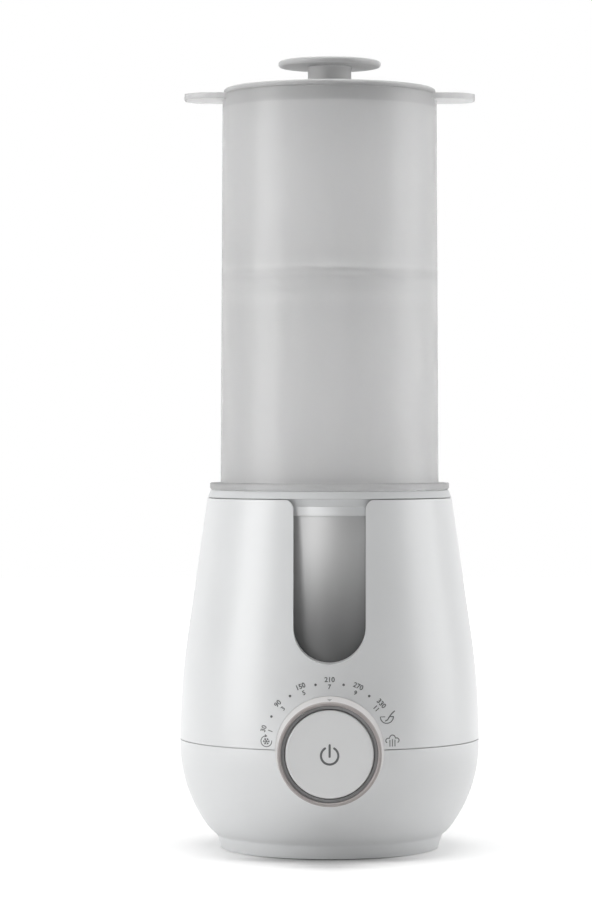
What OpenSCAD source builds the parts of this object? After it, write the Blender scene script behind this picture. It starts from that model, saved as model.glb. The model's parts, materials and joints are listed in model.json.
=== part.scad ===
// Bottle warmer and sterilizer: a heated base with a dial, a frosted steam tower and a lid.
// Millimetres. The tower axis is Z, the table is z = 0 and the dial faces -Y.

/* [Base] */
// Widest diameter of the housing
body_d = 140; // [134:1:150]
// Height of the housing's top edge
base_top_z = 163.7; // [158:0.1:176]
// Wall of the two housing shells
wall = 2.4; // [2:0.1:3]
// Share of the housing's flank that is curved: 1 makes it one arc
flank_curve = 0.68; // [0.6:0.02:0.9]
// Width of the view slot
slot_w = 32.8; // [24:0.4:38]
// Depth of the water bowl below the housing's top edge
bowl_depth = 82.2; // [76:0.2:84]

/* [Dial] */
// Outer diameter of the dial at its front
dial_d = 46.6; // [45:0.2:48]
// How far the dial stands out of the belly
dial_reach = 18; // [14:1:20]
// Half of the dial's turn, in degrees
dial_half_turn = 77.5; // [60:0.5:80]
// Travel of the power button
button_travel = 1.2; // [0.8:0.1:1.4]

/* [Tower] */
// Outer diameter of the sleeve at its flange
tower_d = 102.2; // [100:0.2:106]
// Height of the sleeve above its flange
tower_h = 181.5; // [150:0.5:210]
// Reach of the two ears from the axis
ear_reach = 68; // [62:1:74]
// Width of the ears
ear_w = 30; // [24:1:34]

/* [Lid] */
// Diameter of the mushroom knob
lid_knob_d = 48; // [42:1:54]
// Number of steam vents in the lid
vent_n = 6; // [4:1:8]

/* [Hidden] */
$fn = 96;
clear = 0.3;           // gap between pieces that move past each other
run = 0.08;            // radial play of the dial on its sleeve
fit = 0.15;            // gap between fixed pieces
eps = 0.01;            // overlap of pieces that are joined into one

// The housing's lower half: a slanted foot, a hollow curve, a tight turn, and one arc up to the seam.
body_r = body_d / 2;
foot_z = 0.4;
foot_wall = 3.2;
foot_slant = 18;
belly_z = 49.5;
lower_r = 65;
belly_steps = 16;
// the belly's arc ends at this angle below the level, where the tight turn goes on
belly_a = 35.5;
turn_r = 20;
turn_steps = 5;
turn_cx = body_r - lower_r + (lower_r - turn_r) * cos(belly_a);
turn_cz = belly_z - (lower_r - turn_r) * sin(belly_a);
// the hollow touches the turn at this angle below the level, and ends in the foot's slanted wall
hollow_a = 53;
hollow_r = 3;
hollow_steps = 5;
hollow_cx = turn_cx + (turn_r + hollow_r) * cos(hollow_a);
hollow_cz = turn_cz - (turn_r + hollow_r) * sin(hollow_a);
hollow_end_z = hollow_cz + hollow_r * sin(foot_slant);
foot_r = hollow_cx - hollow_r * cos(foot_slant) - (hollow_end_z - foot_z) * tan(foot_slant);
tower_r = tower_d / 2;
body_top_r = tower_r + 6.1;

// The seam, with a tongue on the upper shell inside the lower one.
seam_z = 51.4;
seam_gap = 0.4;
tongue_h = 3;
lower_top_z = seam_z - seam_gap / 2;
tongue_r = body_r - wall / 2;

// The flank: an arc that starts upright at the seam, then a straight tangent to the top edge.
flank_z = seam_z + seam_gap / 2;
flank_rise = base_top_z - flank_z;
flank_r = flank_curve * pow(flank_rise, 2) / (2 * (body_r - body_top_r));
flank_cx = body_r - flank_r;
flank_reach = norm([body_top_r - flank_cx, flank_rise]);
flank_a = atan2(flank_rise, body_top_r - flank_cx) - acos(flank_r / flank_reach);
flank_steps = 12;

// Rim ring, bowl and heater, from the top down.
rim_gap = 0.4;
rim_z = base_top_z + rim_gap;
rim_h = 3.4;
rim_top_z = rim_z + rim_h;
bowl_r = tower_r - 1.2;
bowl_wall = 2.2;
bowl_in_r = bowl_r - bowl_wall;
rim_skirt_r = bowl_r + 2.1;
rim_skirt_z = rim_z - 7.7;
rim_cone_w = 2.4;
rim_cone_foot = 1.2;
ledge_z = base_top_z - 3;
ledge_h = 2;
bowl_z = base_top_z - bowl_depth;
bowl_floor = 2.2;
bowl_mouth_r = bowl_r - 13.9;
gasket_h = 1.4;
plate_h = 1.6;
plate_r = bowl_r - 9.3;
plate_top_z = bowl_z - gasket_h;
plate_z = plate_top_z - plate_h;
clamp_h = 2;
clamp_z = plate_z - clamp_h;
clamp_r = bowl_r - 3.4;
clamp_hole_r = bowl_r - 5.9;
element_ring_r = 26;
element_r = 3;
element_sweep = 300;

// Case screws, their posts and the bottom.
post_at = foot_r - 14;
post_r = 3.5;
post_top_z = clamp_z - 4;
gusset_z = seam_z + tongue_h + 1;
pilot_r = 1.25;
shank_r = 1.2;
case_screw_len = 18;
shelf_z = 6;
shelf_h = 2.5;
shelf_in_r = post_at - 2.6;
shelf_r = foot_r + 1.4;
cover_z = 3.6;
cover_r = foot_r - foot_wall - fit;
ring_foot_r = foot_r - 5;
ring_foot_w = 4;
ring_foot_top = 4.6;

// Dial stack: distances are in front of the tower axis.
dial_z = seam_z;
dial_r = dial_d / 2;
dial_front = body_r + dial_reach;
trim_h = 2;
seat_front = body_r - 11;
seat_h = 2;
seat_back = seat_front - seat_h;
seat_r = 29;
dial_back = seat_front + 0.6;
dial_flange_h = 3;
dial_flange_r = 26.6;
dial_foot_r = dial_r + 1.2;
lip_r = dial_foot_r + run;
lip_w = 0.7;
lip_proud = 0.5;
dial_land = body_r + lip_proud + 0.5; // the dial is straight up to here, where it runs in the lip
collar_r = 31.5;
collar_back = seat_back - 2;
lug_r = 28.2;
lug_half_a = 5;
magnet_in_r = 23;
magnet_r = 26;
magnet_h = 1.6;
magnet_gap = 0.1;
guide_r = dial_r - 1.8;
guide_in_r = guide_r - 1.4;
guide_front = dial_front - 1.6;
button_r = guide_in_r - 0.35;
button_front = dial_front - 0.7;
button_plate = 2.3;
button_skirt = 1.6;
bead_r = button_r + 0.65;
bead_h = 2.8;
bead_step = dial_front - 9;
bead_back = bead_step - 0.2 - bead_h;
stem_r = 4;
stem_back = seat_front + 0.3;
tube_r = 6.5;
tube_len = 11;
spring_r = 8.2;
spring_wire = 0.45;
spring_turns = 6;
spring_len = 12;
board_front = seat_back - 3;
board_h = 1.6;
board_back = board_front - board_h;
board_half = 25.2;
board_hole_at = 16;

// View slot.
slot_arc_z = dial_z + collar_r + 6.9 + slot_w / 2;
slot_flare = 4.7;
slot_flare_drop = 4.4;
slot_return = 2;

// Cord inlet at the rear.
inlet_z = 24;
inlet_floor = body_r - 10;
inlet_pocket_r = 8.5;
inlet_hole_r = 5;
cord_r = 3.4;

// Power board on the bottom cover.
power_z = 12;
power_w = 44;
power_y0 = -18;
power_y1 = 18;
power_hole_x = 19.5;
power_hole_y = [-15.5, 15.5];

// Tower, tray, lid and stand.
flange_h = 3.4;
flange_r = body_top_r - 1.2;
sleeve_z = rim_top_z + flange_h;
sleeve_top_z = sleeve_z + tower_h;
sleeve_draft = 0.9;
sleeve_wall = 2.2;
sleeve_in_top = tower_r - sleeve_draft - sleeve_wall;
spigot_r = bowl_in_r - 0.5;
spigot_wall = 1.8;
spigot_h = 10;
rib_top_z = sleeve_z + tower_h * 0.54;
rib_h = 3;
rib_in_r = sleeve_in_top - 1.4;
ear_h = 2.6;
ear_corner = 12;
tray_r = sleeve_in_top - 0.4;
tray_wall = 1.6;
tray_wall_r = rib_in_r - 0.8;
tray_depth = 10;
lid_h = 2.8;
lid_r = tower_r - 1.5;
lid_edge = 1.2;
lid_skirt_r = sleeve_in_top - 0.4;
lid_skirt_h = 6.4;
lid_top_z = sleeve_top_z + lid_h;
neck_r = 10.2;
neck_h = 10.3;
knob_h = 2.8;
knob_z = lid_top_z + neck_h;
stand_r = spigot_r - spigot_wall - 4;
stand_rim_w = 1.8;
stand_rim_h = 5;
stand_z = plate_top_z + 13.4;
stand_h = 2;
stand_slots = 12;
stand_leg_at = bowl_mouth_r - 5;
stand_leg_r = 3;
finger_hole_r = 9;
vent_len = 9;
vent_w = 3;
vent_at = 31;

// Small shared shapes

module quarter_disc(r) {
    intersection() {
        circle(r = r);
        square(r + 1);
    }
}

// A rectangle from the origin's left and right, its corners rounded.
module round_rect(w, h, r) {
    square([w - 2 * r, h], center = true);
    square([w, h - 2 * r], center = true);
    for (sx = [0, 1])
        for (sy = [0, 1])
            mirror([sx, 0])
                mirror([0, sy])
                    translate([w / 2 - r, h / 2 - r])
                        quarter_disc(r);
}

// A ring's half section, for rotate_extrude.
module band(r0, r1, z0, z1) {
    translate([r0, z0])
        square([r1 - r0, z1 - z0]);
}

module ring(r0, r1, z0, z1) {
    difference() {
        translate([0, 0, z0])
            cylinder(r = r1, h = z1 - z0);
        translate([0, 0, z0 - 1])
            cylinder(r = r0, h = z1 - z0 + 2);
    }
}

module peg(r, z0, z1) {
    translate([0, 0, z0])
        cylinder(r = r, h = z1 - z0);
}

module block(size, at) {
    translate([at[0] - size[0] / 2, at[1] - size[1] / 2, at[2]])
        cube(size);
}

module around(n, r, start = 0) {
    for (i = [0 : n - 1])
        rotate(start + i * 360 / n)
            translate([r, 0, 0])
                children();
}

// Turns a shape drawn along +Z so that its height becomes the distance in front of the tower axis.
module on_dial_axis() {
    translate([0, 0, dial_z])
        rotate([90, 0, 0])
            children();
}

// The housing's outline, moved inwards by an inset

// The flank's points: the arc in equal steps, then the end of its tangent at the top edge.
function arc_point(inset, a) = [flank_cx, flank_z] + (flank_r - inset) * [cos(a), sin(a)];
function top_point(inset) =
    let (start = arc_point(inset, flank_a))
        [start[0] - (base_top_z - start[1]) * tan(flank_a), base_top_z];

module upper_area(inset) {
    arc = [for (i = [0 : flank_steps]) arc_point(inset, flank_a * i / flank_steps)];
    polygon(concat([[0, flank_z]], arc, [top_point(inset), [0, base_top_z]]));
}

// The belly's arc, from an angle below the level up to the seam.
function belly_point(inset, a) = [body_r - lower_r, belly_z] + (lower_r - inset) * [cos(a), sin(a)];
function belly_arc(inset, a0) =
    let (a1 = asin((lower_top_z - belly_z) / (lower_r - inset)))
        [for (i = [0 : belly_steps]) belly_point(inset, a0 + (a1 - a0) * i / belly_steps)];
function turn_point(a) = [turn_cx, turn_cz] + turn_r * [cos(a), -sin(a)];
function hollow_point(a) = [hollow_cx, hollow_cz] + hollow_r * [-cos(a), sin(a)];

// The belly alone, carried on down to the foot's level.
module lower_area(inset) {
    start = -asin((belly_z - foot_z) / (lower_r - inset));
    polygon(concat([[0, foot_z]], belly_arc(inset, start), [[0, lower_top_z]]));
}

// The belly with the turn, the hollow and the slanted foot under it.
module footed_area() {
    hollow = [for (i = [0 : hollow_steps - 1])
        hollow_point(foot_slant + (hollow_a - foot_slant) * i / hollow_steps)];
    turn = [for (i = [0 : turn_steps - 1])
        turn_point(hollow_a + (belly_a - hollow_a) * i / turn_steps)];
    belly = belly_arc(0, -belly_a);
    polygon(concat([[0, foot_z], [foot_r, foot_z]], hollow, turn, belly, [[0, lower_top_z]]));
}

module upper_solid(inset) {
    rotate_extrude()
        upper_area(inset);
}

module lower_solid(inset) {
    rotate_extrude()
        lower_area(inset);
}

// The collar that holds the dial, and its proud front lip: one half belongs to each housing.
module collar_bar() {
    on_dial_axis()
        peg(collar_r, collar_back, body_r + 10);
}

module lip_bar() {
    on_dial_axis()
        ring(lip_r - 1, lip_r + lip_w, collar_back + 1, body_r + 10);
}

// Everything that is bored out of the collar: seat groove, room for the dial's flange, front lip.
module dial_bores() {
    on_dial_axis() {
        peg(seat_r - 3, collar_back - 20, seat_back);
        peg(seat_r + fit, seat_back - fit, seat_front + fit);
        peg(dial_flange_r + 0.4, seat_front, dial_back + dial_flange_h + 0.4);
        peg(lip_r, seat_front, body_r + 20);
    }
}

module slot_area(grow, above) {
    half = slot_w / 2 + grow;
    translate([0, slot_arc_z])
        circle(r = half);
    translate([-half, slot_arc_z])
        square([2 * half, base_top_z - slot_arc_z + above]);
}

// The slot's cut: its corners open out at the housing's top edge.
module slot_cut_area() {
    slot_area(0, 5);
    for (side = [0, 1])
        mirror([side, 0])
            difference() {
                translate([slot_w / 2 - eps, base_top_z - slot_flare_drop])
                    square([slot_flare, slot_flare_drop + 5]);
                translate([slot_w / 2 + slot_flare, base_top_z - slot_flare_drop])
                    circle(r = slot_flare);
            }
}

// Turns an area drawn in X and Z into a bar that runs from y0 to y1 in front of the axis.
module front_bar(y0, y1) {
    translate([0, -y0, 0])
        rotate([90, 0, 0])
            linear_extrude(y1 - y0)
                children();
}

module screw(head_r, head_h, len, z) {
    peg(head_r, z - head_h, z);
    peg(shank_r, z - eps, z + len);
}

// Base: the housings

module upper_housing() {
    color([0.94, 0.95, 0.96])
        difference() {
            union() {
                rotate_extrude()
                    difference() {
                        upper_area(0);
                        upper_area(wall);
                    }
                // tongue behind the seam
                ring(body_r - wall, tongue_r - fit, seam_z - tongue_h, seam_z + tongue_h);
                // ledge that carries the rim ring
                ring(rim_skirt_r + 0.4, body_top_r - wall / 2, ledge_z - ledge_h, ledge_z);
                intersection() {
                    collar_bar();
                    upper_solid(wall / 2);
                }
                intersection() {
                    lip_bar();
                    upper_solid(-lip_proud);
                }
                // side walls of the view slot
                intersection() {
                    front_bar(bowl_r - 10, body_r)
                        slot_area(slot_return, ledge_z - base_top_z);
                    upper_solid(wall / 2);
                }
                // screw posts with their gussets
                around(4, post_at, 45) {
                    peg(post_r, shelf_z + shelf_h, post_top_z);
                    translate([0, -wall / 2, gusset_z])
                        cube([body_r - post_at - wall * 0.6, wall, post_top_z - gusset_z]);
                }
            }
            dial_bores();
            front_bar(bowl_r - 12, body_r + 20)
                slot_cut_area();
            peg(bowl_r + 0.4, clamp_z - 3, base_top_z + 1);
            peg(rim_skirt_r + 0.4, rim_skirt_z - 0.5, base_top_z + 1);
            around(4, post_at, 45)
                peg(pilot_r, 0, shelf_z + shelf_h + 16);
        }
}

module lower_housing() {
    color([0.94, 0.95, 0.96])
        difference() {
            union() {
                rotate_extrude()
                    difference() {
                        footed_area();
                        lower_area(wall);
                        band(0, foot_r - foot_wall, foot_z - 1, shelf_z);
                    }
                // shelf that the cover is screwed against
                ring(shelf_in_r, shelf_r, shelf_z, shelf_z + shelf_h);
                intersection() {
                    collar_bar();
                    lower_solid(wall / 2);
                }
                intersection() {
                    lip_bar();
                    lower_solid(-lip_proud);
                }
                // closed pocket round the cord inlet
                intersection() {
                    translate([0, 0, inlet_z])
                        rotate([-90, 0, 0])
                            peg(inlet_pocket_r + wall, inlet_floor - wall, body_r + 10);
                    lower_solid(wall / 2);
                }
            }
            dial_bores();
            // arc pocket in which the dial's stop lug runs
            on_dial_axis()
                rotate(270 - dial_half_turn - lug_half_a - 1.5)
                    rotate_extrude(angle = 2 * (dial_half_turn + lug_half_a + 1.5))
                        band(dial_flange_r - 1, lug_r + 0.4, seat_front, dial_back + dial_flange_h + clear);
            // room for the upper housing's tongue
            ring(body_r - wall - fit, tongue_r, seam_z - tongue_h, seam_z + 1);
            translate([0, 0, inlet_z])
                rotate([-90, 0, 0]) {
                    peg(inlet_pocket_r, inlet_floor, body_r + 20);
                    peg(inlet_hole_r, inlet_floor - 10, body_r + 20);
                }
            around(4, post_at, 45)
                peg(shank_r + 0.5, 0, shelf_z + shelf_h + 1);
        }
}

module bottom_cover() {
    color([0.25, 0.26, 0.28])
        difference() {
            union() {
                peg(cover_r, cover_z, shelf_z);
                for (x = [-1, 1])
                    for (y = power_hole_y)
                        translate([x * power_hole_x, y, 0])
                            peg(3, shelf_z - eps, power_z);
            }
            ring(ring_foot_r - ring_foot_w, ring_foot_r, cover_z - 1, ring_foot_top);
            around(4, post_at, 45) {
                peg(shank_r + 0.5, 0, shelf_z + 1);
                peg(3.4, 0, cover_z + 1);
            }
            for (x = [-1, 1])
                for (y = power_hole_y)
                    translate([x * power_hole_x, y, 0])
                        peg(pilot_r, shelf_z - 1, power_z + 1);
            // air slots
            for (i = [-2 : 2])
                translate([i * 6, 0, cover_z - 1])
                    linear_extrude(5)
                        round_rect(2.4, 24, 1.1);
        }
}

module foot_ring() {
    color([0.12, 0.12, 0.13])
        rotate_extrude()
            difference() {
                band(ring_foot_r - ring_foot_w + 0.1, ring_foot_r - 0.1, 0, ring_foot_top);
                translate([ring_foot_r - ring_foot_w / 2, -1.2])
                    circle(r = 1.5);
            }
}

module case_screws() {
    color([0.7, 0.7, 0.72])
        around(4, post_at, 45)
            screw(3, 1.8, case_screw_len, cover_z + 1);
}

// Base: ring, bowl and heater

module rim_ring() {
    color([0.86, 0.87, 0.88])
        rotate_extrude() {
            polygon([[bowl_in_r, rim_z], [body_top_r - 0.2, rim_z], [flange_r - 0.1, rim_top_z - 0.4],
                [flange_r - 0.5, rim_top_z], [bowl_in_r, rim_top_z]]);
            band(bowl_r + fit, rim_skirt_r, rim_skirt_z, rim_z + eps);
            // cone that rests on the housing's ledge
            polygon([[rim_skirt_r - eps, ledge_z], [rim_skirt_r + rim_cone_foot, ledge_z],
                [rim_skirt_r + rim_cone_w, rim_z + eps], [rim_skirt_r - eps, rim_z + eps]]);
        }
}

module water_bowl() {
    corner = 4;
    color([0.4, 0.41, 0.43, 0.6])
        difference() {
            union() {
                rotate_extrude()
                    difference() {
                        union() {
                            band(0, bowl_r, bowl_z + corner, rim_z);
                            band(0, bowl_r - corner, bowl_z, bowl_z + corner);
                            translate([bowl_r - corner, bowl_z + corner])
                                rotate(-90)
                                    quarter_disc(corner);
                        }
                        band(0, bowl_in_r, bowl_z + bowl_floor + corner - 1, rim_z + 1);
                        band(0, bowl_in_r - corner + 1, bowl_z + bowl_floor, bowl_z + bowl_floor + corner);
                        translate([bowl_in_r - corner + 1, bowl_z + bowl_floor + corner - 1])
                            rotate(-90)
                                quarter_disc(corner - 1);
                        band(0, bowl_mouth_r, bowl_z - 1, bowl_z + 20);
                    }
                around(4, clamp_hole_r, 45)
                    peg(2.6, plate_z, bowl_z + 1);
            }
            around(4, clamp_hole_r, 45)
                peg(pilot_r, plate_z - 1, bowl_z + 1.2);
        }
}

module bowl_gasket() {
    color([0.75, 0.3, 0.2])
        ring(bowl_mouth_r + 0.4, plate_r, plate_top_z, bowl_z);
}

module heating_plate() {
    color([0.78, 0.79, 0.8])
        difference() {
            peg(plate_r, plate_z, plate_top_z);
            ring(bowl_mouth_r - 5, bowl_mouth_r - 3, plate_top_z - 0.4, plate_top_z + 1);
        }
}

module heater_element() {
    ring_z = plate_z - element_r - 0.1;
    gap_half = (360 - element_sweep) / 2;
    color([0.5, 0.5, 0.52]) {
        translate([0, 0, ring_z])
            rotate(90 + gap_half)
                rotate_extrude(angle = element_sweep)
                    translate([element_ring_r, 0])
                        circle(r = element_r);
        for (side = [-1, 1])
            rotate(90 + side * gap_half)
                translate([element_ring_r, 0, 0]) {
                    peg(element_r + 0.4, ring_z - 11, plate_z - 0.1);
                    peg(1, ring_z - 17, ring_z - 10);
                }
    }
}

module clamp_ring() {
    color([0.62, 0.63, 0.65])
        difference() {
            ring(bowl_mouth_r - 3, clamp_r, clamp_z, plate_z);
            around(4, clamp_hole_r, 45)
                peg(1.5, clamp_z - 1, plate_z + 1);
        }
}

module clamp_screws() {
    color([0.7, 0.7, 0.72])
        around(4, clamp_hole_r, 45)
            screw(2.4, 1.8, 5, clamp_z);
}

module thermostat() {
    color([0.2, 0.2, 0.22]) {
        peg(7.5, plate_z - 9, plate_z);
        peg(8.4, plate_z - 5, plate_z - 2);
        for (side = [-1, 1])
            block([0.8, 5, 8], [side * 4, 0, plate_z - 16]);
    }
}

module temperature_sensor() {
    color([0.72, 0.6, 0.3])
        translate([15.5, 0, 0]) {
            peg(2.6, plate_z - 7, plate_z);
            peg(1.6, plate_z - 11, plate_z - 6);
        }
}

// Base: dial seat and control board

module dial_seat() {
    color([0.85, 0.86, 0.87])
        on_dial_axis()
            difference() {
                union() {
                    peg(seat_r, seat_back, seat_front);
                    peg(tube_r, seat_front - eps, seat_front + tube_len);
                    for (x = [-1, 1])
                        for (y = [-1, 1])
                            translate([x * board_hole_at, y * board_hole_at, 0])
                                peg(2.5, board_front, seat_back + eps);
                }
                peg(stem_r + clear, seat_back - 1, seat_front + tube_len + 1);
                for (x = [-1, 1])
                    for (y = [-1, 1])
                        translate([x * board_hole_at, y * board_hole_at, 0])
                            peg(pilot_r, board_front - 1, seat_front - 0.8);
                // pegs of the light guide, and the windows for its lamps
                around(3, guide_r - 0.7, 60)
                    peg(0.75, seat_back - 1, seat_front + 1);
                around(6, guide_r - 0.7, 30)
                    peg(0.6, seat_back - 1, seat_front + 1);
            }
}

module light_guide() {
    color([0.35, 0.36, 0.38])
        on_dial_axis() {
            rotate_extrude()
                difference() {
                    band(guide_in_r, guide_r, seat_front, guide_front);
                    band(0, bead_r + 0.25, seat_front - 1, bead_step);
                }
            around(3, guide_r - 0.7, 60)
                peg(0.6, seat_back, seat_front + 1);
        }
}

module control_board() {
    color([0.1, 0.4, 0.25])
        on_dial_axis()
            difference() {
                translate([0, 0, board_back])
                    linear_extrude(board_h)
                        round_rect(2 * board_half, 2 * board_half, 4);
                for (x = [-1, 1])
                    for (y = [-1, 1])
                        translate([x * board_hole_at, y * board_hole_at, 0])
                            peg(1.5, board_back - 1, board_front + 1);
            }
}

module board_screws() {
    color([0.7, 0.7, 0.72])
        on_dial_axis()
            for (x = [-1, 1])
                for (y = [-1, 1])
                    translate([x * board_hole_at, y * board_hole_at, 0])
                        screw(2.3, 1.6, 5, board_back);
}

module tact_switch() {
    color([0.15, 0.15, 0.16])
        on_dial_axis() {
            block([6, 6, seat_back - board_front - 0.2], [0, 0, board_front]);
            peg(1.75, seat_back - 0.5, stem_back - button_travel - 0.1);
        }
}

module ring_leds() {
    color([0.95, 0.95, 0.85])
        on_dial_axis()
            around(6, guide_r - 0.7, 30)
                block([1.4, 2, 1], [0, 0, board_front]);
}

module hall_sensor() {
    color([0.12, 0.12, 0.13])
        on_dial_axis()
            block([4, 3, 1.4], [0, magnet_in_r, board_front]);
}

module control_chip() {
    color([0.12, 0.12, 0.13])
        on_dial_axis() {
            block([9, 9, 1.5], [0, -6, board_back - 1.7]);
            for (i = [-3 : 3]) {
                block([11.4, 0.5, 0.6], [0, -6 + i * 1.2, board_back - 0.6]);
                block([0.5, 11.4, 0.6], [i * 1.2, -6, board_back - 0.6]);
            }
        }
}

// Base: power board

module power_board() {
    color([0.1, 0.35, 0.5])
        difference() {
            translate([-power_w / 2, power_y0, power_z])
                cube([power_w, power_y1 - power_y0, board_h]);
            for (x = [-1, 1])
                for (y = power_hole_y)
                    translate([x * power_hole_x, y, 0])
                        peg(1.5, power_z - 1, power_z + board_h + 1);
        }
}

module power_board_screws() {
    color([0.7, 0.7, 0.72])
        for (x = [-1, 1])
            for (y = power_hole_y)
                translate([x * power_hole_x, y, power_z + board_h])
                    mirror([0, 0, 1])
                        screw(2.2, 1.6, 5, 0);
}

module transformer() {
    top = power_z + board_h;
    color([0.85, 0.75, 0.2]) {
        block([16, 14, 3], [-10, 5.5, top]);
        block([12, 10, 13], [-10, 5.5, top]);
        block([16, 14, 2], [-10, 5.5, top + 12]);
        block([8, 13, 16], [-10, 5.5, top]);
    }
}

module power_relay() {
    color([0.15, 0.3, 0.6])
        translate([8.5, -5.5, power_z + board_h])
            linear_extrude(15)
                round_rect(19, 15.4, 1);
}

module filter_capacitor() {
    top = power_z + board_h;
    color([0.2, 0.2, 0.22])
        translate([11, 9.4, 0])
            difference() {
                peg(6, top, top + 20);
                ring(5.5, 7, top + 2, top + 3);
                block([9, 0.6, 1], [0, 0, top + 19.6]);
                block([0.6, 9, 1], [0, 0, top + 19.6]);
            }
}

module terminal_block() {
    top = power_z + board_h;
    color([0.2, 0.5, 0.3])
        difference() {
            block([13, 9, 11], [-9.5, -11.5, top]);
            for (x = [-12.5, -6.5]) {
                translate([x, -12.5, 0])
                    peg(1.9, top + 7, top + 12);
                block([3.6, 5, 4], [x, -15, top + 1.5]);
            }
        }
}

module cord_gland() {
    color([0.14, 0.14, 0.15])
        translate([0, 0, inlet_z])
            rotate([-90, 0, 0])
                difference() {
                    union() {
                        peg(7, inlet_floor, inlet_floor + 2);
                        peg(inlet_hole_r - 0.1, inlet_floor - wall - 1, inlet_floor + 1);
                        peg(6.4, inlet_floor - wall - 2.4, inlet_floor - wall);
                    }
                    peg(cord_r, inlet_floor - 20, inlet_floor + 5);
                }
}

// Dial and button

module dial_ring() {
    color([0.92, 0.92, 0.92])
        on_dial_axis() {
            difference() {
                rotate_extrude()
                    polygon([[guide_r + run, dial_back], [dial_flange_r, dial_back],
                        [dial_flange_r, dial_back + dial_flange_h], [dial_foot_r, dial_back + dial_flange_h],
                        [dial_foot_r, dial_land], [dial_r, dial_front - trim_h],
                        [guide_r + run, dial_front - trim_h]]);
                ring(magnet_in_r - magnet_gap, magnet_r + magnet_gap, dial_back - 1,
                    dial_back + magnet_gap + magnet_h);
            }
            rotate(270 - lug_half_a)
                rotate_extrude(angle = 2 * lug_half_a)
                    band(dial_flange_r - 0.3, lug_r, dial_back, dial_back + dial_flange_h);
        }
}

module dial_trim() {
    edge = 0.5;
    color([0.66, 0.62, 0.6])
        on_dial_axis()
            rotate_extrude()
                polygon([[guide_r + 0.2, dial_front - trim_h], [dial_r, dial_front - trim_h],
                    [dial_r, dial_front - edge], [dial_r - edge, dial_front],
                    [guide_r + 0.2 + edge, dial_front], [guide_r + 0.2, dial_front - edge]]);
}

module encoder_magnet() {
    color([0.2, 0.2, 0.2])
        on_dial_axis()
            ring(magnet_in_r, magnet_r, dial_back + magnet_gap, dial_back + magnet_gap + magnet_h);
}

module power_button() {
    edge = 0.8;
    plate_back = button_front - button_plate;
    boss_back = seat_front + spring_len;
    color([0.8, 0.81, 0.82])
        on_dial_axis() {
            rotate_extrude() {
                band(0, button_r, plate_back, button_front - edge);
                band(0, button_r - edge, button_front - edge, button_front);
                translate([button_r - edge, button_front - edge])
                    quarter_disc(edge);
                band(button_r - button_skirt, button_r, bead_back, plate_back + eps);
                band(button_r - button_skirt, bead_r, bead_back, bead_back + bead_h);
                band(tube_r + 0.6, spring_r + 1.2, boss_back, plate_back + eps);
            }
            peg(stem_r, stem_back, plate_back + eps);
        }
}

// A round wire wound into a spring with closed ends: rings of points joined into one skin.
module button_spring() {
    steps = 16;
    sides = 6;
    n = spring_turns * steps;
    rise = spring_len - 2 * spring_wire;
    // the first and last turn lie flat, the ones between share the height
    pitch_share = function(t) min(max((t - 1) / (spring_turns - 2), 0), 1);
    flat = 2 * spring_wire + 0.1;
    lift = function(t) flat * (min(t, 1) + max(t - spring_turns + 1, 0))
        + (rise - 2 * flat) * pitch_share(t);
    points = [for (i = [0 : n], k = [0 : sides - 1])
        let (t = i / steps, a = 360 * t, b = 360 * k / sides, r = spring_r + spring_wire * cos(b))
            [r * cos(a), r * sin(a), spring_wire + lift(t) + spring_wire * sin(b)]];
    sidewalls = [for (i = [0 : n - 1], k = [0 : sides - 1])
        let (k2 = (k + 1) % sides)
            [i * sides + k, i * sides + k2, (i + 1) * sides + k2, (i + 1) * sides + k]];
    first_end = [for (k = [sides - 1 : -1 : 0]) k];
    last_end = [for (k = [0 : sides - 1]) n * sides + k];
    color([0.75, 0.76, 0.78])
        on_dial_axis()
            translate([0, 0, seat_front])
                polyhedron(points, concat(sidewalls, [first_end, last_end]), convexity = 8);
}

// Tower, lid, tray and stand

module tower_sleeve() {
    chamfer = 0.9;
    color([0.75, 0.76, 0.78, 0.7])
        difference() {
            union() {
                rotate_extrude()
                    polygon([[0, rim_top_z], [flange_r - chamfer, rim_top_z], [flange_r, rim_top_z + chamfer],
                        [flange_r, sleeve_z - 0.4], [flange_r - 0.4, sleeve_z], [tower_r, sleeve_z],
                        [tower_r - sleeve_draft, sleeve_top_z], [0, sleeve_top_z]]);
                peg(spigot_r, rim_top_z - spigot_h, rim_top_z + eps);
                translate([0, 0, sleeve_top_z - ear_h])
                    linear_extrude(ear_h)
                        round_rect(2 * ear_reach, ear_w, ear_corner);
            }
            rotate_extrude()
                polygon([[0, rib_top_z], [sleeve_in_top + 0.4, rib_top_z], [sleeve_in_top, sleeve_top_z],
                    [sleeve_in_top, sleeve_top_z + 1], [0, sleeve_top_z + 1]]);
            rotate_extrude()
                polygon([[0, sleeve_z - 1], [tower_r - sleeve_wall, sleeve_z - 1],
                    [sleeve_in_top + 0.4, rib_top_z - rib_h - 1], [rib_in_r, rib_top_z - rib_h],
                    [0, rib_top_z - rib_h]]);
            peg(rib_in_r, rib_top_z - rib_h - 1, rib_top_z + 1);
            peg(spigot_r - spigot_wall, rim_top_z - spigot_h - 1, sleeve_z);
        }
}

module vent_area() {
    square([vent_len, vent_w], center = true);
    for (side = [-1, 1])
        translate([side * vent_len / 2, 0])
            circle(r = vent_w / 2);
}

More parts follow.
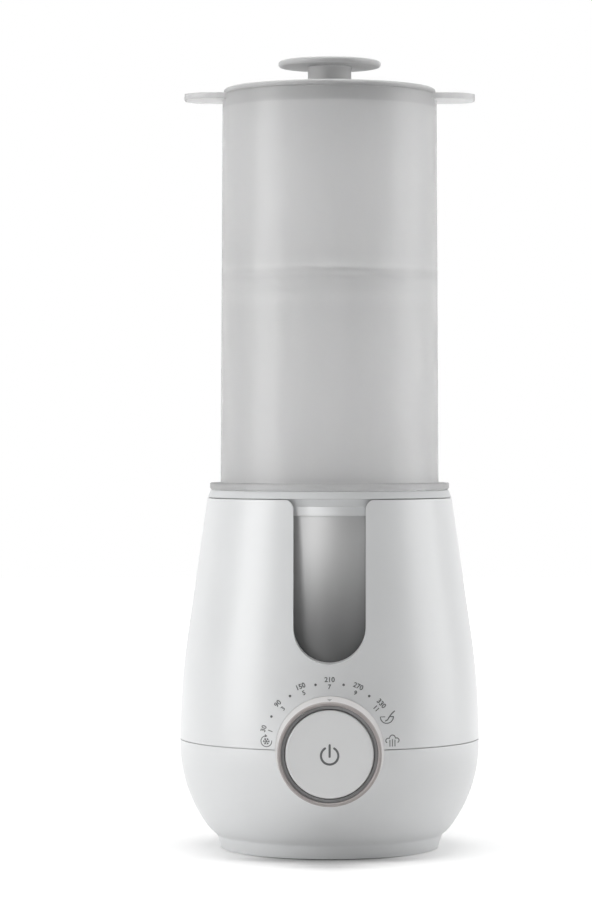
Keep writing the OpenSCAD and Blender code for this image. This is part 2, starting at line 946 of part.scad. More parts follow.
module lid_plate() {
    color([0.72, 0.73, 0.75, 0.8])
        difference() {
            rotate_extrude() {
                band(0, lid_r - lid_edge, sleeve_top_z, lid_top_z);
                band(0, lid_r, sleeve_top_z + lid_edge, lid_top_z - lid_edge);
                translate([lid_r - lid_edge, lid_top_z - lid_edge])
                    quarter_disc(lid_edge);
                translate([lid_r - lid_edge, sleeve_top_z + lid_edge])
                    rotate(-90)
                        quarter_disc(lid_edge);
                band(lid_skirt_r - 1.8, lid_skirt_r, sleeve_top_z - lid_skirt_h, sleeve_top_z + eps);
            }
            peg(1.6, sleeve_top_z - 1, lid_top_z + 1);
            around(vent_n, vent_at)
                translate([0, 0, sleeve_top_z - 1])
                    linear_extrude(lid_h + 2)
                        rotate(90)
                            vent_area();
        }
}

module lid_knob() {
    knob_r = lid_knob_d / 2;
    edge = knob_h / 2 - 0.1;
    top_z = knob_z + knob_h;
    color([0.72, 0.73, 0.75])
        difference() {
            rotate_extrude() {
                band(0, neck_r, lid_top_z, knob_z + eps);
                band(0, knob_r - edge, knob_z, top_z);
                band(0, knob_r, knob_z + edge, top_z - edge);
                translate([knob_r - edge, top_z - edge])
                    quarter_disc(edge);
                translate([knob_r - edge, knob_z + edge])
                    rotate(-90)
                        quarter_disc(edge);
            }
            peg(pilot_r, lid_top_z - 1, lid_top_z + 9);
        }
}

module lid_screw() {
    color([0.7, 0.7, 0.72])
        screw(3, 1.8, lid_h + 7, sleeve_top_z);
}

module small_parts_tray() {
    floor_z = rib_top_z - tray_depth;
    color([0.8, 0.81, 0.83])
        difference() {
            rotate_extrude() {
                band(0, tray_wall_r, floor_z, floor_z + tray_wall);
                band(tray_wall_r - tray_wall, tray_wall_r, floor_z, rib_top_z + tray_wall);
                band(tray_wall_r - tray_wall, tray_r, rib_top_z, rib_top_z + tray_wall);
            }
            // steam slots in rings, and a finger hole in the middle
            for (row = [16, 27, 37])
                around(row == 16 ? 6 : 12, row)
                    translate([0, 0, floor_z - 1])
                        linear_extrude(tray_wall + 2)
                            vent_area();
            peg(finger_hole_r, floor_z - 1, floor_z + tray_wall + 1);
        }
}

module bottle_stand() {
    color([0.85, 0.86, 0.87])
        difference() {
            union() {
                peg(stand_r, stand_z, stand_z + stand_h);
                ring(stand_r - stand_rim_w, stand_r, stand_z, stand_z + stand_rim_h);
                around(4, stand_leg_at, 45)
                    peg(stand_leg_r, plate_top_z, stand_z + eps);
            }
            around(stand_slots, stand_r - 20, 15)
                translate([0, 0, stand_z - 1])
                    linear_extrude(stand_h + 2)
                        vent_area();
            around(stand_slots, stand_r - 8)
                translate([0, 0, stand_z - 1])
                    linear_extrude(stand_h + 2)
                        vent_area();
            peg(finger_hole_r, stand_z - 1, stand_z + stand_h + 1);
        }
}

upper_housing();
lower_housing();
bottom_cover();
foot_ring();
case_screws();
rim_ring();
water_bowl();
bowl_gasket();
heating_plate();
heater_element();
clamp_ring();
clamp_screws();
thermostat();
temperature_sensor();
dial_seat();
light_guide();
control_board();
board_screws();
tact_switch();
ring_leds();
hall_sensor();
control_chip();
power_board();
power_board_screws();
transformer();
power_relay();
filter_capacitor();
terminal_block();
cord_gland();
dial_ring();
dial_trim();
encoder_magnet();
power_button();
button_spring();
tower_sleeve();
lid_plate();
lid_knob();
lid_screw();
small_parts_tray();
bottle_stand();
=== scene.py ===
# %% [markdown]
# # A bottle warmer that sterilizes with steam
# The object is a heated white base with a dial, and a frosted tower in which steam rises round the
# bottle parts. The construction comes ready-made as a imported model whose pieces are named nodes.
# This lesson gives those pieces their surfaces, winds the button's spring anew, prints the dial's scale
# and sets up a small photo studio round it.

# %% Load the imported model
import json
import math

import bpy
from mathutils import Matrix, Vector
from mathutils.bvhtree import BVHTree


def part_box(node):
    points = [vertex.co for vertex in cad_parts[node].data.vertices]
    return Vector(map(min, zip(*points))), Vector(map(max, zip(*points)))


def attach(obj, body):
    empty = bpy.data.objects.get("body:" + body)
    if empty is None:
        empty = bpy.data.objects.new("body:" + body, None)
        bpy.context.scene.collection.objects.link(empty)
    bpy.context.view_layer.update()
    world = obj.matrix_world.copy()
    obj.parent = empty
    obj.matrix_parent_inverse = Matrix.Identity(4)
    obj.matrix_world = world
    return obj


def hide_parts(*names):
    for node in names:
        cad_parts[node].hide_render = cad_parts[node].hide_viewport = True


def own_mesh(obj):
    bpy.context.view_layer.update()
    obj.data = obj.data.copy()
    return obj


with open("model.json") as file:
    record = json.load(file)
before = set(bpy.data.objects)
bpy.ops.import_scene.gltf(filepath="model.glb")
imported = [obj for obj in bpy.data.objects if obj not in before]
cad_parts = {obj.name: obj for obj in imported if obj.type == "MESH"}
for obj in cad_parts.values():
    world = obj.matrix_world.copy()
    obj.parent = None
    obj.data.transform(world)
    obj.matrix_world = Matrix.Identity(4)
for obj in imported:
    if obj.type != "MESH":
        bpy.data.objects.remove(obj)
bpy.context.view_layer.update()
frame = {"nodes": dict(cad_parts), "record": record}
nodes = frame["nodes"]
MM = 0.001

# %% [markdown]
# ## The camera
# The photograph was taken level with the lower part of the tower, from some way off, with a long lens.
# A level camera keeps the tower's sides upright. The object stands a little right of the middle, so the
# frame is shifted rather than turned, as on a view camera.

# %% Camera
PICTURE_W, PICTURE_H = 592, 916
FOCAL_PX = 3453
AXIS_COLUMN, EYE_ROW = 329.6, 433.4
EYE_DISTANCE, EYE_HEIGHT = 1619.6 * MM, 193.9 * MM
SENSOR = 36
camera_data = bpy.data.cameras.new("studio_camera")
camera_data.sensor_width = SENSOR
camera_data.lens = FOCAL_PX / PICTURE_H * SENSOR
camera_data.shift_x = (PICTURE_W / 2 - AXIS_COLUMN) / PICTURE_H
camera_data.shift_y = (EYE_ROW - PICTURE_H / 2) / PICTURE_H
camera = bpy.data.objects.new("studio_camera", camera_data)
camera.location = (0, -EYE_DISTANCE, EYE_HEIGHT)
camera.rotation_euler = (math.radians(90), 0, 0)
bpy.context.scene.collection.objects.link(camera)
bpy.context.scene.camera = camera
print("lens", round(camera_data.lens, 1), "mm")

# %% [markdown]
# ## Writing shaders as sums
# A material is a graph of nodes, and wiring it by hand in code is long. The class below wraps one output
# socket. Arithmetic with it adds Math nodes, so `1 - mask` works, and `add` makes any other node: its
# settings are set first, then its sockets get a value or a link.

# %% A wire in a material
class Wire:
    """An output socket of a shader tree. Arithmetic with it adds Math nodes."""

    def __init__(self, tree, socket=None):
        self.tree = tree
        self.socket = socket

    def add(self, kind, settings=None, inputs=None, output=0):
        """Adds a node of any kind and returns one of its outputs."""
        node = self.tree.nodes.new(kind)
        for name, value in (settings or {}).items():
            setattr(node, name, value)
        for key, value in (inputs or {}).items():
            if isinstance(value, Wire):
                self.tree.links.new(value.socket, node.inputs[key])
            else:
                node.inputs[key].default_value = value
        return Wire(self.tree, node.outputs[output])

    def maths(self, operation, *values):
        return self.add("ShaderNodeMath", {"operation": operation}, dict(enumerate(values)))

    def __add__(self, other):
        return self.maths("ADD", self, other)

    def __sub__(self, other):
        return self.maths("SUBTRACT", self, other)

    def __rsub__(self, other):
        return self.maths("SUBTRACT", other, self)

    def __mul__(self, other):
        return self.maths("MULTIPLY", self, other)

    __radd__ = __add__
    __rmul__ = __mul__

    def clamp(self):
        return self.add("ShaderNodeClamp", {}, {"Value": self})

    def between(self, low, high):
        """0 below low, 1 above high, and a smooth step from one to the other."""
        settings = {"interpolation_type": "SMOOTHSTEP"}
        return self.add("ShaderNodeMapRange", settings, {"Value": self, 1: low, 2: high})

    def tint(self, first, second):
        """A colour that goes from first to second as this value goes from 0 to 1."""
        return self.add("ShaderNodeMix", {"data_type": "RGBA"}, {0: self, 6: first, 7: second}, output=2)

    def noise(self, size, detail=2.0):
        """Noise at this place, with blotches of about that size in metres."""
        return self.add("ShaderNodeTexNoise", {}, {"Vector": self, "Scale": 1 / size, "Detail": detail})

    def part(self, axis):
        """One coordinate of this place: X, Y or Z."""
        return self.add("ShaderNodeSeparateXYZ", {}, {0: self}, output=axis)

    def band(self, axis, low, high, soft):
        """1 where a coordinate's size lies between low and high, with soft ends."""
        along = self.part(axis)
        along = along.maths("ABSOLUTE", along)
        return along.between(low - soft, low + soft) * (1 - along.between(high - soft, high + soft))

    def stretched(self, x, y, z):
        """This place with its coordinates scaled, which draws a pattern out along an axis."""
        return self.add("ShaderNodeMapping", {}, {"Vector": self, "Scale": (x, y, z)})


def new_finish(name, **constants):
    """A material, its shader, and the place on the object in metres. Words of a socket join with _."""
    material = bpy.data.materials.new(name)
    material.use_nodes = True
    tree = material.node_tree
    shader = tree.nodes["Principled BSDF"]
    for socket, value in constants.items():
        shader.inputs[socket.replace("_", " ")].default_value = value
    place = Wire(tree).add("ShaderNodeTexCoord", output="Object")
    return material, shader, place


def feed(shader, **wires):
    """Links wires to sockets of a shader."""
    for socket, wire in wires.items():
        wire.tree.links.new(wire.socket, shader.inputs[socket.replace("_", " ")])


def shade(colour, factor):
    """A colour made lighter or darker."""
    return tuple(min(1, c * factor) for c in colour[:3]) + (1,)


print("shader words ready")

# %% [markdown]
# ## Moulded plastic
# A clean white shell still isn't one flat colour. Pigment mixes unevenly, the gloss follows the polish of
# the steel mould, and the mould's spark-eroded grain leaves a skin too fine to see but rough enough to
# soften a highlight. Edges of moulded parts are never sharp, so a Bevel node rounds the shading there.
# The skirt of the rim ring, seen in the slot, is glossier than the rest of the ring, so a finish may have a
# coat between two heights only.

# %% Moulded finishes
def moulded(
    name, colour, roughness, grain=0.4 * MM, depth=6e-6, edge=0.35 * MM, polish=None, **constants
):
    """Plastic from a mould: mottling, uneven gloss, fine grain, soft edges, perhaps a polished band."""
    material, shader, place = new_finish(name, **constants)
    mottle = place.noise(24 * MM, detail=3)
    skin = place.noise(grain)
    soft = place.add("ShaderNodeBevel", {"samples": 4}, {"Radius": edge})
    bump = {"Strength": 0.5, "Distance": depth, "Height": skin, "Normal": soft}
    feed(
        shader,
        Base_Color=mottle.tint(shade(colour, 0.975), shade(colour, 1.02)),
        Roughness=roughness + (mottle - 0.5) * 0.12 + (skin - 0.5) * 0.06,
        Normal=place.add("ShaderNodeBump", {}, bump),
    )
    if polish:
        feed(shader, Coat_Weight=place.band("Z", *polish, 0.2 * MM))
    return material


finishes = {
    "white_plastic": moulded(
        "white_plastic", (0.81, 0.82, 0.825), 0.38, edge=0.12 * MM, Coat_Weight=0.35, Coat_Roughness=0.28
    ),
    "dial_plastic": moulded("dial_plastic", (0.67, 0.655, 0.648), 0.35),
    "dark_plastic": moulded("dark_plastic", (0.10, 0.10, 0.11), 0.6, grain=0.8 * MM, depth=3e-5),
    "rubber": moulded("rubber", (0.06, 0.06, 0.06), 0.85, grain=0.5 * MM, depth=3e-5),
    "pale_plastic": moulded(
        "pale_plastic", (0.70, 0.71, 0.715), 0.4, polish=(150 * MM, 163.9 * MM), Specular_IOR_Level=0.1,
        Coat_Roughness=0.55
    ),
    "silicone": moulded("silicone", (0.50, 0.16, 0.09), 0.6),
    "black_parts": moulded("black_parts", (0.03, 0.03, 0.033), 0.5),
    "relay_blue": moulded("relay_blue", (0.04, 0.1, 0.32), 0.35),
    "terminal_green": moulded("terminal_green", (0.05, 0.24, 0.09), 0.45),
    "trim_plastic": moulded("trim_plastic", (0.44, 0.402, 0.392), 0.32),
    "button_plastic": moulded("button_plastic", (0.86, 0.865, 0.865), 0.5, Metallic=0.2),
    "guide_plastic": moulded("guide_plastic", (0.33, 0.33, 0.333), 0.3),
    "led": moulded("led", (0.82, 0.8, 0.6), 0.2),
    "ink": moulded("ink", (0.105, 0.11, 0.11), 0.5, Coat_Weight=1.0, Coat_Roughness=0.3),
}
print("moulded finishes:", len(finishes))

# %% [markdown]
# ## Frosted and smoky plastic
# The tower is frosted: light passes, but nothing inside is sharp. A rough transmission does that, and
# what lies close behind the wall still shows as a soft band, as the tray's rim does. The tube's colour
# also carries painted light and shade: its flange is paler, as painted light, its ears are paler, and
# a painted shade darkens it where the lid's skirt lies behind it. It is also a little paler at the
# tray's rib, a painted light, since the rib's shade came out deeper than in the photograph. Such zones
# are bands along one axis with soft ends. The water bowl is smoke grey, and a painted shade darkens it
# towards the bottom end, as if it were lit from above; its gloss is lowest there too.

# %% Frosted finishes
def frosted(name, colour, roughness, passes, edge=0.4 * MM, tone_and_shade_bands=(), ior=1.42, **constants):
    """Frosted plastic: passes is the share of light that goes through. Bands paint light and shade."""
    material, shader, place = new_finish(name, Transmission_Weight=passes, IOR=ior, **constants)
    flow = place.stretched(1, 1, 0.12).noise(9 * MM, detail=3)
    skin = place.noise(0.5 * MM)
    soft = place.add("ShaderNodeBevel", {"samples": 4}, {"Radius": edge})
    bump = {"Strength": 0.4, "Distance": 1e-5, "Height": skin, "Normal": soft}
    tone_with_shade = 0.5 + (flow - 0.5) * 0.08
    # bands of painted light and shade on top of the random tone
    for axis, low, high, soft_end, shade_gain in tone_and_shade_bands:
        tone_with_shade = tone_with_shade + 2 * shade_gain * place.band(axis, low * MM, high * MM, soft_end * MM)
    feed(
        shader,
        Base_Color=tone_with_shade.clamp().tint(shade(colour, 0.75), shade(colour, 1.25)),
        Roughness=roughness + (flow - 0.5) * 0.08 + (skin - 0.5) * 0.08,
        Normal=place.add("ShaderNodeBump", {}, bump),
    )
    return material


def smoky(name, upper, lower, roughness, z_low, z_high):
    """Tinted plastic, darker from z_high down to z_low: a painted shade, as if lit from above."""
    material, shader, place = new_finish(name, Specular_IOR_Level=0.1, Coat_Roughness=0.48)
    painted_light_rise = place.part("Z").between(z_low, z_high)
    flow = place.stretched(1, 1, 0.15).noise(8 * MM)
    feed(
        shader,
        # painted shade: paler at the top, darker at the bottom
        Base_Color=(painted_light_rise + (flow - 0.5) * 0.06).clamp().tint(lower, upper),
        Roughness=roughness + (flow - 0.5) * 0.1,
        Coat_Weight=0.05 + 0.95 * painted_light_rise * painted_light_rise,
    )
    return material


# axis, from, to, width of the soft ends (all in millimetres), and how much paler; most rows are painted
# light or painted shade
TOWER_TONE_AND_SHADE_BANDS = (
    # the flange, paler: painted light
    ("Z", 167.4, 170.9, 0.2, 0.22),
    ("Z", 150, 182, 8, 0.03),
    # the tray's rib, paler: painted light against its shade
    ("Z", 254, 273, 4, 0.065),
    ("Z", 261, 270.5, 2.5, 0.025),
    ("Z", 266.5, 271.5, 1, 0.045),
    # where the lid's skirt lies behind the wall, darker: painted shade
    ("Z", 346, 360, 0.5, -0.125),
    ("X", 52.4, 80, 0.2, 0.045),
)
finishes["frosted_plastic"] = frosted(
    "frosted_plastic", (0.845, 0.845, 0.845), 0.6, 0.72, edge=1.2 * MM, tone_and_shade_bands=TOWER_TONE_AND_SHADE_BANDS,
    Coat_Weight=0.28, Coat_Roughness=0.2
)
finishes["lid_plastic"] = frosted("lid_plastic", (0.70, 0.70, 0.70), 0.5, 0.35)
finishes["tray_plastic"] = frosted("tray_plastic", (0.97, 0.975, 0.98), 0.3, 0.97, ior=1.15)
# The bowl's colour goes from 0.45 at the top to 0.175 at the bottom: a painted shade.
finishes["smoky_plastic"] = smoky(
    "smoky_plastic", (0.45, 0.45, 0.45, 1), (0.175, 0.175, 0.175, 1), 0.5, 86 * MM, 150 * MM
)
print("frosted and smoky finishes made")

# %% [markdown]
# ## Metals and boards
# The inner metal parts are plated steel, a turned plate and a sheathed heater. A brushed look is noise
# drawn out along the tool's path. Circuit boards get their lacquer from two tones: laminate, and the
# copper tracks that show through as paler lines.

# %% Metals and boards
def plated(name, colour, roughness, lay=(1, 1, 12)):
    """Metal with the marks of a tool that ran along one direction."""
    material, shader, place = new_finish(name, Metallic=1.0)
    marks = place.stretched(*lay).noise(1.5 * MM, detail=4)
    cloud = place.noise(6 * MM)
    bump = {"Strength": 0.3, "Distance": 5e-6, "Height": marks}
    feed(
        shader,
        Base_Color=cloud.tint(shade(colour, 0.9), shade(colour, 1.06)),
        Roughness=roughness + (marks - 0.5) * 0.25,
        Normal=place.add("ShaderNodeBump", {}, bump),
    )
    return material


def lacquered_board(name, laminate, track):
    """A circuit board: copper tracks show through its lacquer."""
    material, shader, place = new_finish(name, Coat_Weight=0.3)
    bricks = {"Vector": place, "Scale": 1 / (9 * MM), "Mortar Size": 0.05, "Color1": (0, 0, 0, 1),
              "Color2": (0, 0, 0, 1), "Mortar": (1, 1, 1, 1)}
    tracks = place.add("ShaderNodeTexBrick", {}, bricks, output="Fac")
    weave = place.noise(0.6 * MM)
    feed(
        shader,
        Base_Color=(tracks * 0.8 + weave * 0.15).tint(laminate, track),
        Roughness=0.3 + weave * 0.15,
    )
    return material


finishes["steel"] = plated("steel", (0.62, 0.63, 0.65), 0.32)
finishes["plate_metal"] = plated("plate_metal", (0.72, 0.73, 0.74), 0.35, lay=(1, 12, 1))
finishes["element_metal"] = plated("element_metal", (0.36, 0.36, 0.38), 0.5)
finishes["brass"] = plated("brass", (0.7, 0.5, 0.2), 0.35)
finishes["winding"] = moulded("winding", (0.62, 0.46, 0.06), 0.4)
finishes["board"] = lacquered_board("board", (0.02, 0.12, 0.05, 1), (0.06, 0.26, 0.12, 1))
print("all finishes:", sorted(finishes))

# %% [markdown]
# ## Dressing the pieces
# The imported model's record says which finish each piece has, so one loop dresses them all. The dial is
# moulded from a slightly warmer white than the shell, and gets a finish of its own.

# %% Give every carried-over node its finish
for row in frame["record"]["subparts"]:
    piece = nodes[row["node"]]
    piece.data.materials.clear()
    piece.data.materials.append(finishes[row["material_slot"]])
nodes["dial_ring"].data.materials[0] = finishes["dial_plastic"]

# %% [markdown]
# ## The button's spring
# Behind the button sits a coil of steel wire that pushes it out again. A solid on one body can't be
# squeezed, so the coil is wound once more here, from round wire with closed ends, in the place of the
# packed one.

# %% Wind the spring
WIRE_R = 0.45 * MM
TURNS = 6
STEPS, SIDES = 32, 10
low, high = [Vector(corner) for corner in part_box("button_spring")]
seat = Vector(((low.x + high.x) / 2, high.y, (low.z + high.z) / 2))
coil_length = high.y - low.y
coil_r = (high.x - low.x) / 2 - WIRE_R
closed_pitch = 2 * WIRE_R + 0.1 * MM


def climb(turn):
    """Distance of the wire's middle from the seat. The first and the last turn lie flat."""
    flat_turns = min(turn, 1) + max(turn - TURNS + 1, 0)
    open_share = min(max((turn - 1) / (TURNS - 2), 0), 1)
    return WIRE_R + closed_pitch * flat_turns + (coil_length - 2 * WIRE_R - 2 * closed_pitch) * open_share


points = []
for i in range(TURNS * STEPS + 1):
    angle = 2 * math.pi * i / STEPS
    for k in range(SIDES):
        bend = 2 * math.pi * k / SIDES
        radius = coil_r + WIRE_R * math.cos(bend)
        forward = climb(i / STEPS) + WIRE_R * math.sin(bend)
        points.append(seat + Vector((radius * math.cos(angle), -forward, radius * math.sin(angle))))
faces = [tuple(range(SIDES)), tuple(range(len(points) - 1, len(points) - SIDES - 1, -1))]
for i in range(0, len(points) - SIDES, SIDES):
    for k in range(SIDES):
        after = (k + 1) % SIDES
        faces.append((i + k, i + SIDES + k, i + SIDES + after, i + after))
mesh = bpy.data.meshes.new("return_spring")
mesh.from_pydata(points, [], faces)
mesh.shade_smooth()
mesh.materials.append(finishes["steel"])
spring = bpy.data.objects.new("return_spring", mesh)
bpy.context.scene.collection.objects.link(spring)
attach(spring, "base")
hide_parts("button_spring")
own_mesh(spring)

# %% [markdown]
# ## Ink on the shell
# The scale is pad-printed: a film of dark grey ink that follows the round shell. A picture in the
# material would do for a photograph, but real geometry stays sharp from any distance. So each mark is
# drawn flat, in millimetres, then every point is thrown along a ray onto the piece that carries it. A
# Solidify modifier gives the film its thickness. Strokes are rows of left and right points, which get
# narrower past each end, so that they end round as a pen's do.

# %% Flat strokes and numbers
def arc(x, y, radius, start, end, steps=20):
    """Points along an arc: degrees, anticlockwise from the right."""
    turns = [math.radians(start + (end - start) * i / steps) for i in range(steps + 1)]
    return [Vector((x + radius * math.cos(a), y + radius * math.sin(a))) for a in turns]


def stroke(path, width=0.42):
    """A pen stroke with round ends along a path: its flat points and faces."""
    path = [Vector(p) for p in path]
    half = width / 2
    ways = [(b - a).normalized() for a, b in zip(path, path[1:])]
    along = [ways[0]] + [(a + b).normalized() for a, b in zip(ways, ways[1:])] + [ways[-1]]
    bends = [math.radians(a) for a in (86, 65, 43, 22)]
    rows = [(path[0] - along[0] * half * math.sin(a), along[0], half * math.cos(a)) for a in bends]
    rows += [(p, w, half) for p, w in zip(path, along)]
    end, way = path[-1], along[-1]
    rows += [(end + way * half * math.sin(a), way, half * math.cos(a)) for a in reversed(bends)]
    points = []
    for middle, way, reach in rows:
        side = Vector((-way.y, way.x)) * reach
        points += [middle + side, middle - side]
    faces = [(i, i + 1, i + 3, i + 2) for i in range(0, len(points) - 2, 2)]
    return points, faces


def number(text, height):
    """A number in the built-in typeface, centred on the origin."""
    letters = bpy.data.curves.new("letters", "FONT")
    letters.body = text
    letters.resolution_u = 4
    letters.fill_mode = "FRONT"
    letters.offset = 0.018
    maker = bpy.data.objects.new("letters", letters)
    mesh = bpy.data.meshes.new_from_object(maker)
    flat = [v.co.to_2d() for v in mesh.vertices]
    faces = [tuple(p.vertices) for p in mesh.polygons]
    bpy.data.objects.remove(maker)
    bpy.data.curves.remove(letters)
    bpy.data.meshes.remove(mesh)
    low = Vector((min(p.x for p in flat), min(p.y for p in flat)))
    high = Vector((max(p.x for p in flat), max(p.y for p in flat)))
    size = height / (high.y - low.y)
    return [(p - (low + high) / 2) * size for p in flat], faces


def placed(shape, x, y, turn=0):
    """A flat shape turned clockwise by degrees, then moved to x, y."""
    points, faces = shape
    spin = Matrix.Rotation(math.radians(-turn), 2)
    return [spin @ p + Vector((x, y)) for p in points], faces


def on_circle(shape, turn, radius):
    """A shape on a circle round the dial, turned with it: 0 is at the top."""
    angle = math.radians(turn)
    return placed(shape, radius * math.sin(angle), radius * math.cos(angle), turn)


print("a stroke has", len(stroke(arc(0, 0, 1, 0, 90))[0]), "points")

# %% [markdown]
# ## From flat to round
# A pad of soft rubber presses a flat print onto a round shell. Rays do the same here: each point is thrown
# straight at the piece and stops just proud of it, and the film reaches down into the surface.

# %% Lay flat shapes on a piece
FILM = 0.09 * MM
PROUD = 0.06 * MM


def lay_ink(name, shapes, node, origin, right, up, body):
    """Throws flat shapes, drawn in millimetres on the plane of right and up, onto a piece."""
    carrier = nodes[node].data
    tree = BVHTree.FromPolygons([v.co for v in carrier.vertices], [p.vertices for p in carrier.polygons])
    right, up = Vector(right), Vector(up)
    outwards = right.cross(up)
    points, faces = [], []
    for flat, rings in shapes:
        first = len(points)
        for p in flat:
            start = origin + (right * p.x + up * p.y) * MM
            hit, normal, _, _ = tree.ray_cast(start, -outwards)
            if normal.dot(outwards) < 0:
                normal = -normal
            points.append(hit + normal * PROUD)
        faces += [tuple(first + i for i in ring) for ring in rings]
    mesh = bpy.data.meshes.new(name)
    mesh.from_pydata(points, [], faces)
    mesh.materials.append(finishes["ink"])
    print_film = bpy.data.objects.new(name, mesh)
    bpy.context.scene.collection.objects.link(print_film)
    thick = print_film.modifiers.new("film", "SOLIDIFY")
    thick.thickness = FILM
    thick.offset = -1
    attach(print_film, body)
    print(name, "points:", len(points), "faces:", len(faces))
    return print_film


# %% [markdown]
# ## The dial's scale
# Round the dial run the bottle's volumes in two units, 30 to 330 outside and 1 to 11 inside, with a dot
# between each pair. Three signs end the scale: thawing on the left, food and steam on the right. They
# are common kitchen signs, each drawn here from a few arcs and lines. The pointer is on the dial's upper
# flank, and the power sign is on the button.

# %% Scale, signs, pointer and power sign
low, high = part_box("power_button")
dial_centre = Vector((0, low[1] - 50 * MM, (low[2] + high[2]) / 2))

MARK_STEP = 24.1
OUTER_R, INNER_R, DOT_R = 31.9, 28.7, 30.2
SIDE_PULL = 0.7
marks = []
for i in range(6):
    turn = (i - 3) * MARK_STEP
    pull = SIDE_PULL * abs(math.sin(math.radians(turn)))
    marks.append(on_circle(number(str(30 + 60 * i), 2.3), turn, OUTER_R - pull))
    marks.append(on_circle(number(str(1 + 2 * i), 2.05), turn, INNER_R - pull))
for i in range(5):
    dot = stroke([(-0.02, 0), (0.02, 0)], 1.1)
    marks.append(on_circle(dot, (i - 2.5) * MARK_STEP, DOT_R))

thawing = [
    stroke(arc(0, 0, 2.45, 5, -265), 0.34),
    stroke([(-0.5, 2.95), (0.25, 2.35), (-0.6, 1.95)], 0.34),
]
for i in range(6):
    arm = Matrix.Rotation(math.radians(60 * i), 2)
    for line in ([(0.12, 0), (1.45, 0)], [(0.85, 0), (1.25, 0.38)], [(0.85, 0), (1.25, -0.38)]):
        thawing.append(stroke([arm @ Vector(p) for p in line], 0.26))
food = [
    stroke([(2.95, 0.9), (-2.95, 0.9)] + arc(0, 0.9, 2.95, 180, 360)[1:-1] + [(2.95, 0.9)]),
    stroke([(3.4, 3.3), (2.1, 2.2), (0.95, 0.6), (0.3, -0.5), (-0.65, -0.95)], 0.5),
]
cloud = arc(-1.9, 0.15, 1.1, 235, 62) + arc(0, 1.35, 1.25, 158, 22) + arc(1.9, 0.15, 1.1, 118, -55)
steam = [stroke(cloud)]
steam += [stroke([(x, top), (x, -2.4)], 0.36) for x, top in ((-1.15, 0.3), (0, 0.6), (1.15, 0.3))]
for sign, x, y in ((thawing, -28.5, 3.8), (food, 25.8, 14.0), (steam, 28.3, 4.0)):
    marks += [placed(shape, x, y) for shape in sign]

power = [stroke(arc(0, -0.6, 3.85, 122, 418, 40), 0.95), stroke([(0, 4.1), (0, -1)], 0.95)]
pointer = [([Vector((-1.1, 3.3)), Vector((0, -2.7)), Vector((1.1, 3.3))], [(0, 1, 2)])]

lay_ink("dial_scale", marks, "upper_housing", dial_centre, (1, 0, 0), (0, 0, 1), "base")
lay_ink("power_sign", power, "power_button", dial_centre, (1, 0, 0), (0, 0, 1), "button")
flank_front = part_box("dial_ring")[0][1]
above = Vector((0, flank_front + 4.1 * MM, dial_centre.z + 60 * MM))
lay_ink("dial_pointer", pointer, "dial_ring", above, (1, 0, 0), (0, 1, 0), "dial")

# %% [markdown]
# ## The studio
# A white table, a large soft light on the left and a second one on the right, a little behind. The front
# stays darker than the sides, which is what gives the white shell its shape in the photograph. The world
# is a dim grey as a light, and plain white where the camera or a pane of plastic sees it. Reflections see
# that white behind the object alone, because a studio has a bright backdrop and a dark room in front.
# The table glows too, so that it fades into the white, and the glow stops where the object covers it.
# In front of the object the table's colour also turns grey there: together they make a painted shadow.

# %% World and table
def seen_directly(tree, mirrored=1):
    """1 for rays from the camera or through plastic, mirrored for reflections, 0 for light on a surface."""
    kinds = ("Camera", "Transmission", "Glossy")
    rays = [Wire(tree).add("ShaderNodeLightPath", output=f"Is {kind} Ray") for kind in kinds]
    camera_ray, through, glossy = rays
    return (camera_ray + through + glossy * mirrored).clamp()


AMBIENT = 0.04
BACKDROP = (0.2, 0.75)
world = bpy.data.worlds.new("studio_world")
bpy.context.scene.world = world
world.use_nodes = True
backdrop = world.node_tree.nodes["Background"]
backdrop.inputs["Color"].default_value = (1, 1, 1, 1)
way = Wire(world.node_tree).add("ShaderNodeTexCoord", output="Generated")
direct = seen_directly(world.node_tree, way.part("Y").between(*BACKDROP))
level = direct * (1 - AMBIENT) + AMBIENT
world.node_tree.links.new(level.socket, backdrop.inputs["Strength"])

TABLE_HALF = 3
CONTACT = 30 * MM
IN_FRONT = (20 * MM, 55 * MM)
CONTACT_EDGE = (0.2, 0.7)
PAINTED_SHADOW_GREY = (0.25, 0.25, 0.25, 1)
BOUNCE_GREY = (0.75, 0.75, 0.75, 1)
PAPER_GREYS = (0.85, 0.85, 0.85, 1), (0.88, 0.88, 0.88, 1)
GLOW_NEAR, GLOW_RISE = 0.3, 0.8
GLOW_REACH = (0.2, 1.2)
mesh = bpy.data.meshes.new("table_top")
corners = [(-1, -1), (1, -1), (1, 1), (-1, 1)]
mesh.from_pydata([(x * TABLE_HALF, y * TABLE_HALF, 0) for x, y in corners], [], [(0, 1, 2, 3)])
table = bpy.data.objects.new("table_top", mesh)
bpy.context.scene.collection.objects.link(table)
paper, shader, place = new_finish(
    "white_table", Roughness=0.9, Specular_IOR_Level=0.0, Emission_Strength=1.0
)
direct = seen_directly(place.tree)
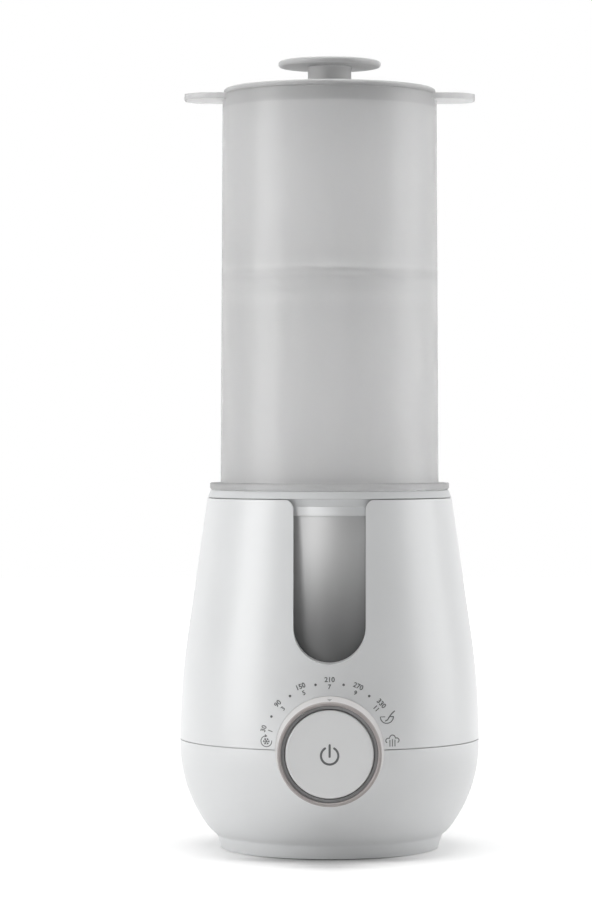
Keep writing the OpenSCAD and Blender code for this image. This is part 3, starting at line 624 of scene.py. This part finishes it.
grain = place.noise(40 * MM)
near_white = grain.tint(*PAPER_GREYS)
# A painted shadow: in front of the object the table's colour and glow fall where ambient occlusion finds it
# covered.
in_front = (0 - place.part("Y")).between(*IN_FRONT)
covered = place.add("ShaderNodeAmbientOcclusion", {"samples": 16}, {"Distance": CONTACT}, output="AO")
outside_painted_shadow = 1 - (1 - covered) * in_front
near_white = outside_painted_shadow.between(*CONTACT_EDGE).tint(PAINTED_SHADOW_GREY, near_white)
reach = place.add("ShaderNodeVectorMath", {"operation": "LENGTH"}, {0: place}, output="Value")
glow = direct * outside_painted_shadow * (GLOW_NEAR + GLOW_RISE * reach.between(*GLOW_REACH))
feed(shader, Base_Color=direct.tint(BOUNCE_GREY, near_white), Emission_Color=glow)
mesh.materials.append(paper)
print("table and world ready")

# %% [markdown]
# ## The lights
# Large rectangles give soft edges to every shade. One narrow card in front lights the water bowl and the
# rim ring alone, and only as a reflection: it draws the pale streak down the bowl in the slot. Light
# linking keeps it off the white shell, where a photographer would use a flag.

# %% Soft lights
def softbox(name, azimuth, distance, height, size, power, aim=0.17):
    """A rectangular light round the object: azimuth 0 is in front, 90 on the right."""
    data = bpy.data.lights.new(name, "AREA")
    data.shape = "RECTANGLE"
    data.size, data.size_y = size
    data.energy = power
    turn = math.radians(azimuth)
    lamp = bpy.data.objects.new(name, data)
    lamp.location = (distance * math.sin(turn), -distance * math.cos(turn), height)
    towards = Vector((0, 0, aim)) - lamp.location
    lamp.rotation_euler = towards.to_track_quat("-Z", "Y").to_euler()
    bpy.context.scene.collection.objects.link(lamp)
    return lamp


softbox("left_softbox", -69, 1.3, 0.3, (0.68, 1.3), 13.4)
softbox("right_softbox", 91, 1.3, 0.3, (0.95, 1.3), 11.4)
softbox("top_softbox", 0, 0.01, 1.6, (1.4, 1.4), 22)
card = softbox("bowl_card", -18, 1.3, 0.4, (0.3, 0.8), 51)
card.visible_diffuse = False
lit = bpy.data.collections.new("lit_by_card")
for name in ("water_bowl", "rim_ring"):
    lit.objects.link(nodes[name])
card.light_linking.receiver_collection = lit
bpy.context.scene.view_settings.view_transform = "Standard"
